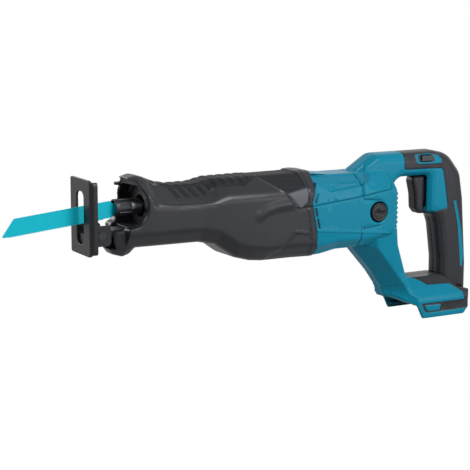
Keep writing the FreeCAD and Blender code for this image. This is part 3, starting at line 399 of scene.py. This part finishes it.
# ---- Rubber cover --------------------------------------------------------------
PATCH = [(86.0, 25.5), (93.0, 12.0), (102.7, 8.3), (135.5, 7.6), (142.8, 13.0), (150.0, 17.0),
         (172.6, 18.0), (185.0, 16.7), (198.0, 22.6), (206.0, 27.0), (206.0, 60.0), (86.0, 60.0)]
FACET = [(233.4, 6.2), (260.8, 11.1), (258.4, -4.5), (250.5, -10.7), (245.3, -9.2)]
REAR_RECESS = [(205.0, 25.5), (233.4, 7.0), (259.5, 12.2), (257.5, 24.0), (254.0, 34.0), (205.0, 34.0)]
LOW_FACET = [(245.0, -39.0), (262.0, -41.0), (265.5, -75.0), (200.0, -75.0), (220.5, -57.8)]
REAR_LIP = [(262.5, 40.0), (261.0, 12.3), (259.5, -12.5), (262.3, -29.7), (265.5, -64.2), (266.0, -80.0)]
NOSE_LINE = [(75.8, 0.3), (137.0, -0.5), (147.0, -0.2)]
SWELL_LINE = [(198.6, -21.0), (207.5, -15.2), (220.0, -12.0), (245.0, -10.0)]
SHOULDER_EDGE = [(201.7, 26.6), (233.4, 6.2)]
WAIST_LINE = [(232.7, 6.2), (247.2, -10.6), (255.1, -11.4), (268.0, -11.0)]
LOW_EDGE = [(245.0, -37.3), (260.8, -39.7)]
COVER_TOP_Z = 15
PAD_PITCH, PAD_LEAN, PAD_START, PAD_EDGE = 11.0, 0.625, 145.3, (2.0, 4.4)
PAD_TOP_HEIGHT, PAD_FLANK_HEIGHT = 0.5, 0.8
NOSE_TOP_Z, NOSE_RISE, NOSE_LEAN = 0.2, 9, 0.36
NOSE_START, NOSE_END = (70, 78), (138, 165)
SWELL_ABOVE_LINE, SWELL_EDGE, SWELL_HEIGHT = 5.0, (0.5, 8.0), 1.5
SWELL_REACH = (188, 206, 236, 246)
RIB_START, RIB_PITCH, RIB_EDGE, RIB_HEIGHT = 12.0, 4.0, (0.4, 1.2), 0.4
FACET_TOP_Z, FACET_LEAN, FACET_LIMIT = 11.0, 0.07, 2


def cover_relief(places, normals):
    x, z = places[:, 0], places[:, 2]
    side = places[:, [0, 2]]
    out = outwardness(places, normals)
    skin = np.maximum(out, upwardness(normals) * (z > COVER_TOP_Z))
    height = skin * plateau(side, PATCH, height=-0.5, edge=1.4)
    # Slanted pads in the patch.
    phase = (x + PAD_LEAN * z - PAD_START) / PAD_PITCH
    pad = 1 - smooth_step(np.abs(phase - np.round(phase)) * PAD_PITCH, *PAD_EDGE)
    pad_height = PAD_TOP_HEIGHT * skin + PAD_FLANK_HEIGHT * out
    height += pad_height * pad * smooth_step(depth_in(side, PATCH), 1.5, 3.5)
    # The nose leans in above its line.
    height += out * groove(side, NOSE_LINE, width=1.6, depth=0.4)
    above = np.clip(z - NOSE_TOP_Z, 0, NOSE_RISE) * (1 - smooth_step(x, *NOSE_END))
    height -= out * NOSE_LEAN * above * smooth_step(x, *NOSE_START)
    # A soft swell along the flank.
    from_middle = np.abs(z - line_height(x, SWELL_LINE) - SWELL_ABOVE_LINE)
    swell = (1 - smooth_step(from_middle, *SWELL_EDGE)) * window(x, *SWELL_REACH)
    height += out * SWELL_HEIGHT * swell
    # Ribbed recess and facets at the rear end.
    height += out * ridge(side, SHOULDER_EDGE, width=3.0, height=0.8)
    height += skin * plateau(side, REAR_RECESS, height=-1.3, edge=1.6)
    from_rib = np.abs(((z - RIB_START) / RIB_PITCH) % 1 - 0.5) * RIB_PITCH
    rib = 1 - smooth_step(from_rib, *RIB_EDGE)
    height += skin * RIB_HEIGHT * rib * smooth_step(depth_in(side, REAR_RECESS), 1, 3)
    height += out * groove(side, WAIST_LINE, width=2.8, depth=1.5)
    tilt = np.clip((FACET_TOP_Z - z) * FACET_LEAN, 0, FACET_LIMIT)
    height += out * tilt * smooth_step(depth_in(side, FACET), -0.4, 0.6)
    height += skin * groove(side, REAR_LIP, width=1.8, depth=0.8)
    height += out * ridge(side, LOW_EDGE, width=3.0, height=1.0)
    height += out * plateau(side, LOW_FACET, height=-0.8, edge=1.4)
    return height


cover = remeshed(["rubber_cover"], voxel=1.0, rounds=4)
# The rear facet is painted lighter, as painted light.
cover_paints = [(FACET, FACET_HIGHLIGHT, flanks), (PATCH, DEEP_RUBBER, outer), (REAR_RECESS, DEEP_RUBBER, outer)]
resurface(cover, cover_relief, [RUBBER, FACET_HIGHLIGHT, DEEP_RUBBER], cover_paints)
piece("cover_skin", cover, ["rubber_cover"], keep=0.5)

# ---- Motor housing and handle ----------------------------------------------------
UPPER_RECESS = [(266.0, 20.5), (277.9, 12.5), (291.4, 4.2), (334.8, 8.7), (344.4, 15.5), (352.4, 25.4),
                (354.3, 36.0), (352.0, 60.0), (266.0, 60.0)]
LONG_GROOVE = [(266.0, -10.5), (335.8, -4.0), (374.7, 2.0), (383.5, 17.0)]
UPPER_BAND = LONG_GROOVE[:3] + [(366.0, 12.0)] + UPPER_RECESS[5::-1]
SEAM_UP = [(333.0, 30.0), (334.5, 11.5), (335.9, -7.0), (361.0, -10.5)]
SEAM_LOW = [(359.2, -38.8), (341.8, -40.9), (333.5, -41.9), (332.5, -75.0)]
LOW_RIDGE = [(270.0, -38.4), (372.8, -49.3)]
LOW_FLANK_TOP = [(270.0, -40.5), (372.8, -51.4)]
VENTS = [[(273.6, 2.2), (271.0, -6.8)], [(270.6, -13.0), (272.4, -22.6)], [(273.4, -25.4), (276.0, -36.2)]]
FOOT_TOP = [(404.5, -103.5), (409.9, -105.8), (432.2, -115.3), (437.5, -119.5), (470.0, -120.7),
            (483.0, -130.5), (484.5, -140.0), (512.0, -140.0), (512.0, -95.0), (404.5, -95.0)]
FOOT_BAND = [(421.4, -138.8), (484.5, -139.1), (512.0, -139.1), (512.0, -150.2), (429.1, -150.6),
             (424.6, -146.5)]
BAND_PLATE = [(425.8, -141.3), (449.6, -141.9), (447.6, -149.0), (430.2, -148.6)]
FOOT_CREASES = [[(382.1, -118.7), (400.6, -109.7)], [(392.4, -127.0), (404.1, -133.0)]]
HUMP_EDGE = [(337.0, 9.6), (346.0, 16.0), (353.5, 26.0)]
SHELL_TOP_Z, UNDERSIDE_Z, UNDERSIDE_END_X = 10, -45, 350
SHOULDER_END, SHOULDER_INNER = (340, 356), (15, 19)
BAND_HALF_WIDTH, BAND_LEAN = 37.6, 0.13
RECESS_HALF_WIDTH, RECESS_LEAN = 36.3, 0.28
ROOF_Z, ROOF_RISE, ROOF_LEAN = 13.5, 20, 1.5
LOW_FLANK_LEAN, LOW_FLANK_DROP, LOW_FLANK_END = 0.10, 18, (300, 335)
BUMP_PITCH, BUMP_SHIFT, BUMP_HEIGHT = 5.6, 4.5, 1.4
BUMP_FRONT_X, BUMP_REAR_X, BUMP_REACH = 376, 400, (-47, -44, -4, -1)
MIDDLE_SEAM_DEPTH, MIDDLE_SEAM_EDGE, MIDDLE_SEAM_START_X = 0.5, (0.2, 0.7), 336
VENTS_END_X = 280


def square_shoulder(places, normals):
    """Flanks over the long groove: a band that leans in a little, then a recess that leans in more."""
    side = places[:, [0, 2]]
    z = places[:, 2]
    out = outwardness(places, normals) * smooth_step(np.abs(places[:, 1]), *SHOULDER_INNER)
    out *= 1 - smooth_step(places[:, 0], *SHOULDER_END)
    above_groove = z - line_height(places[:, 0], LONG_GROOVE[:2])
    band = BAND_HALF_WIDTH - BAND_LEAN * above_groove
    recess = RECESS_HALF_WIDTH - RECESS_LEAN * above_groove - np.clip(z - ROOF_Z, 0, ROOF_RISE) * ROOF_LEAN
    in_recess = smooth_step(depth_in(side, UPPER_RECESS), -0.5, 0.7)
    in_band = smooth_step(depth_in(side, UPPER_BAND), -1.6, 0.6) * (1 - in_recess)
    width = np.abs(places[:, 1])
    target = width + out * (in_band * (band - width) + in_recess * (recess - width))
    places[:, 1] = np.sign(places[:, 1]) * target


def shell_relief(places, normals):
    x, z = places[:, 0], places[:, 2]
    side = places[:, [0, 2]]
    out = outwardness(places, normals)
    skin = np.maximum(out, upwardness(normals) * (z > SHELL_TOP_Z))
    around = np.maximum(skin, upwardness(-normals) * (z < UNDERSIDE_Z) * (x < UNDERSIDE_END_X))
    height = out * plateau(side, UPPER_RECESS, height=-1.0, edge=1.4)
    height += out * groove(side, LONG_GROOVE, width=2.4, depth=1.3)
    for seam in (SEAM_UP, SEAM_LOW):
        height += around * groove(side, seam, width=1.7, depth=1.3)
    height += out * ridge(side, LOW_RIDGE, width=3.4, height=1.2)
    drop = np.clip(line_height(x, LOW_FLANK_TOP) - z, 0, LOW_FLANK_DROP)
    height -= out * LOW_FLANK_LEAN * drop * (1 - smooth_step(x, *LOW_FLANK_END))
    for line in VENTS:
        height += out * groove(side, line, width=3.0, depth=1.6)
    height += out * plateau(side, FOOT_BAND, height=-0.5, edge=1.0)
    for crease in FOOT_CREASES:
        height += out * ridge(side, crease, width=4.0, height=0.7)
    height += out * ridge(side, HUMP_EDGE, width=4.0, height=0.8)
    height += out * plateau(side, BAND_PLATE, height=0.5, edge=1.0)
    height += skin * plateau(side, FOOT_TOP, height=-0.4, edge=1.0)
    # Small bumps on the rear face of the leg.
    rear = smooth_step(normals[:, 0], 0.4, 0.8) * (x > BUMP_FRONT_X) * (x < BUMP_REAR_X)
    wave = 0.5 + 0.5 * np.cos((z + BUMP_SHIFT) / BUMP_PITCH * 2 * math.pi)
    height += rear * window(z, *BUMP_REACH) * wave * BUMP_HEIGHT
    # Parting line between the two handle halves.
    middle = 1 - smooth_step(np.abs(places[:, 1]), *MIDDLE_SEAM_EDGE)
    not_sideways = np.abs(normals[:, 1]) < 0.75
    height -= middle * (x > MIDDLE_SEAM_START_X) * not_sideways * MIDDLE_SEAM_DEPTH
    return height


def vents_test(places, normals):
    return flanks(places, normals) & (places[:, 0] < VENTS_END_X)


shell = remeshed(["motor_housing", "handle_left", "handle_right"], voxel=0.8, rounds=4)
# Strips of painted shade along the long groove and the two seams.
shell_paints = [(strip(line), GROOVE_SHADE, outer) for line in (LONG_GROOVE, SEAM_UP, SEAM_LOW)]
# The vents get painted shade.
shell_paints += [(vent_outline(line), RECESS_SHADE, vents_test) for line in VENTS]
shell_paints += [(FOOT_TOP, RUBBER, outer_or_rear), (FOOT_BAND, RUBBER, outer_or_rear),
                 (BAND_PLATE, TEAL, flanks)]
resurface(shell, shell_relief, [TEAL, RUBBER, RECESS_SHADE, GROOVE_SHADE], shell_paints, snap=0.4,
          reshape=square_shoulder)
piece("body_shell", shell, ["motor_housing", "handle_left", "handle_right"], keep=0.4)

# ---- Grip rubber -----------------------------------------------------------------
STRIPE = [(479.9, -20.7), (484.0, -22.3), (494.0, -59.8), (498.4, -91.2), (496.2, -103.4), (492.8, -103.1),
          (490.6, -78.2), (487.2, -50.0)]
SURROUND = [(422.5, 36.6), (444.4, 37.2), (454.8, 34.8), (460.9, 29.7), (459.5, 25.0), (425.7, 25.8),
            (423.5, 28.3)]
RECESS = [(426.4, 36.0), (449.6, 35.6), (450.4, 27.2), (427.4, 27.4)]
BUTTON_MARGIN = 1.3
BUTTON_CLEARANCE = 0.6


def grip_relief(places, normals):
    side = places[:, [0, 2]]
    out = outwardness(places, normals)
    height = out * plateau(side, STRIPE, height=-0.4, edge=1.0)
    height += out * plateau(side, SURROUND, height=0.3, edge=1.0)
    height += out * plateau(side, RECESS, height=-0.9, edge=1.0)
    # The wall of the button's hole moves back, clear of the button at the end of its slide.
    low, high = [np.array(corner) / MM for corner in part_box("lock_off_button")]
    near = np.all((side > low[[0, 2]] - BUTTON_MARGIN) & (side < high[[0, 2]] + BUTTON_MARGIN), axis=1)
    height -= near * (1 - smooth_step(np.abs(normals[:, 1]), 0.5, 0.8)) * BUTTON_CLEARANCE
    return height


for hand in ("left", "right"):
    grip = remeshed(["grip_rubber_" + hand], voxel=0.8, rounds=3)
    # The recess around the lock-off button gets painted shade; the stripe and the surround are the grip's own
    # teal.
    grip_paints = [(STRIPE, TEAL, flanks), (SURROUND, TEAL, flanks), (RECESS, RECESS_SHADE, flanks)]
    resurface(grip, grip_relief, [RUBBER, TEAL, RECESS_SHADE], grip_paints, snap=0.4)
    piece("grip_skin_" + hand, grip, ["grip_rubber_" + hand], keep=0.6)

# ---- Shoe --------------------------------------------------------------------------
SHOE_BEND = 4.6


def bend_shoe(places, normals):
    """Turns the square corners between the plate and its flanks into round bends."""
    half = -min(v[1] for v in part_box("shoe")) / MM
    x = SHOE_BEND - places[:, 0]
    y = np.abs(places[:, 1]) - (half - SHOE_BEND)
    corner = (x > 0) & (y > 0)
    reach = np.maximum(np.hypot(x, y), 1e-6)
    shrink = np.where(corner, np.maximum(x, y) / reach, 1)
    places[:, 0] = SHOE_BEND - x * shrink
    places[:, 1] = np.where(corner, np.sign(places[:, 1]) * (half - SHOE_BEND + y * shrink), places[:, 1])


def no_relief(places, normals):
    return np.zeros(len(places))


shoe = remeshed(["shoe"], voxel=0.6, rounds=4)
resurface(shoe, no_relief, [MATERIALS["black_steel"]], reshape=bend_shoe)
piece("shoe_skin", shoe, ["shoe"], keep=0.5, body="shoe")

# ---- Brush caps --------------------------------------------------------------------
CAP_SLOT = [(-3.6, 2.4), (3.6, -2.4)]
CAP_RING_RADIUS, CAP_RING_DEPTH = 8.2, 0.35


def brush_cap(hand):
    """Cap with a slot for a driver and a ring around it."""
    name = "brush_cap_" + hand
    low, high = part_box(name)
    middle = (low + high) / 2 / MM
    slot_line = [(middle[0] + x, middle[2] + z) for x, z in CAP_SLOT]

    def cap_relief(places, normals):
        side = places[:, [0, 2]]
        out = outwardness(places, normals)
        radius = np.hypot(places[:, 0] - middle[0], places[:, 2] - middle[2])
        ring = -CAP_RING_DEPTH * (1 - smooth_step(np.abs(radius - CAP_RING_RADIUS), 0.3, 0.9))
        return out * (groove(side, slot_line, width=2.6, depth=1.0) + ring)

    cap = remeshed([name], voxel=0.5, rounds=3)
    resurface(cap, cap_relief, [MATERIALS["dark_plastic"]])
    piece(name + "_skin", cap, [name], keep=0.6)


for hand in ("left", "right"):
    brush_cap(hand)

# ---- Stage ---------------------------------------------------------------------------
FLOOR_LOW, FLOOR_HIGH, FLOOR_GAP = -6, 8, 0.0005
FLOOR_MIRRORED, WORLD_MIRRORED = 0.45, 1.0
FLOOR_GREY = (0.45, 0.45, 0.45, 1)
WORLD_GREY = (0.26, 0.27, 0.28, 1)
WHITE = (1, 1, 1, 1)


def white_rays(tree, mirrored):
    """1 for camera rays, a share for glossy and transmission rays, 0 for the light on the object."""
    rays = tree.nodes.new("ShaderNodeLightPath")
    seen = rays.outputs["Is Camera Ray"]
    for ray in ("Is Glossy Ray", "Is Transmission Ray"):
        share = tree.nodes.new("ShaderNodeMath")
        share.operation = "MULTIPLY_ADD"
        share.use_clamp = True
        tree.links.new(rays.outputs[ray], share.inputs[0])
        share.inputs[1].default_value = mirrored
        tree.links.new(seen, share.inputs[2])
        seen = share.outputs["Value"]
    return seen


def seen_white(tree, plain, white, mirrored, output):
    """Shows the white shader to the camera, and lights the object with the plain one."""
    mix = tree.nodes.new("ShaderNodeMixShader")
    tree.links.new(white_rays(tree, mirrored), mix.inputs["Fac"])
    tree.links.new(plain, mix.inputs[1])
    tree.links.new(white, mix.inputs[2])
    tree.links.new(mix.outputs["Shader"], tree.nodes[output].inputs["Surface"])


def softbox(name, place, target, size, power):
    """Rectangular lamp in watts, turned towards its target."""
    lamp = bpy.data.lights.new(name, "AREA")
    lamp.shape = "RECTANGLE"
    lamp.size, lamp.size_y = size
    lamp.energy = power
    thing = bpy.data.objects.new(name, lamp)
    bpy.context.collection.objects.link(thing)
    thing.location = place
    thing.rotation_euler = (Vector(target) - Vector(place)).to_track_quat("-Z", "Y").to_euler()


low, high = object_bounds()
floor_z = low[2] - FLOOR_GAP
floor_mesh = bpy.data.meshes.new("floor")
floor_mesh.from_pydata([(FLOOR_LOW, FLOOR_LOW, floor_z), (FLOOR_HIGH, FLOOR_LOW, floor_z),
                        (FLOOR_HIGH, FLOOR_HIGH, floor_z), (FLOOR_LOW, FLOOR_HIGH, floor_z)],
                       [], [(0, 1, 2, 3)])
floor = bpy.data.objects.new("floor", floor_mesh)
bpy.context.collection.objects.link(floor)
pale = bpy.data.materials.new("pale_floor")
pale.use_nodes = True
tree = pale.node_tree
shader = tree.nodes["Principled BSDF"]
shader.inputs["Base Color"].default_value = FLOOR_GREY
shader.inputs["Roughness"].default_value = 0.9
glow = tree.nodes.new("ShaderNodeEmission")
glow.inputs["Color"].default_value = WHITE
seen_white(tree, shader.outputs["BSDF"], glow.outputs["Emission"], FLOOR_MIRRORED, "Material Output")
floor_mesh.materials.append(pale)

world = bpy.data.worlds.new("studio")
bpy.context.scene.world = world
world.use_nodes = True
tree = world.node_tree
background = tree.nodes["Background"]
background.inputs["Color"].default_value = WORLD_GREY
white = tree.nodes.new("ShaderNodeBackground")
white.inputs["Color"].default_value = WHITE
seen_white(tree, background.outputs["Background"], white.outputs["Background"], WORLD_MIRRORED,
           "World Output")

softbox("key", place=(0.55, -1.45, 1.2), target=(0.2, 0, -0.03), size=(0.8, 0.5), power=32)
softbox("fill", place=(1.05, -1.45, 0.1), target=(0.3, 0, -0.05), size=(0.9, 0.45), power=7)
softbox("back", place=(-0.7, 1.4, 0.75), target=(0.25, 0, -0.03), size=(1.2, 0.7), power=22)

# ---- Camera ----------------------------------------------------------------------------
# Angles in radians; the focal length is in widths of one pixel of the photo, which is 470 pixels wide.
TURN, TILT, ROLL, FOCAL = 0.513875, 0.174453, 0.002781, 1472.417
PHOTO_WIDTH, SENSOR_WIDTH = 470, 36.0
CAMERA_PLACE = (-0.6104, -1.4138, 0.24425)
look = Vector((math.sin(TURN) * math.cos(TILT), math.cos(TURN) * math.cos(TILT), -math.sin(TILT)))
level = Vector((math.cos(TURN), -math.sin(TURN), 0))
rise = level.cross(look)
right = math.cos(ROLL) * level + math.sin(ROLL) * rise
up = -math.sin(ROLL) * level + math.cos(ROLL) * rise
camera_data = bpy.data.cameras.new("camera")
camera_data.sensor_width = SENSOR_WIDTH
camera_data.lens = FOCAL / PHOTO_WIDTH * SENSOR_WIDTH
camera_data.clip_end = 50
camera = bpy.data.objects.new("camera", camera_data)
bpy.context.collection.objects.link(camera)
turn = Matrix((right, up, -look)).transposed().to_4x4()
camera.matrix_world = Matrix.Translation(CAMERA_PLACE) @ turn
bpy.context.scene.camera = camera
bpy.context.scene.view_settings.view_transform = "Standard"
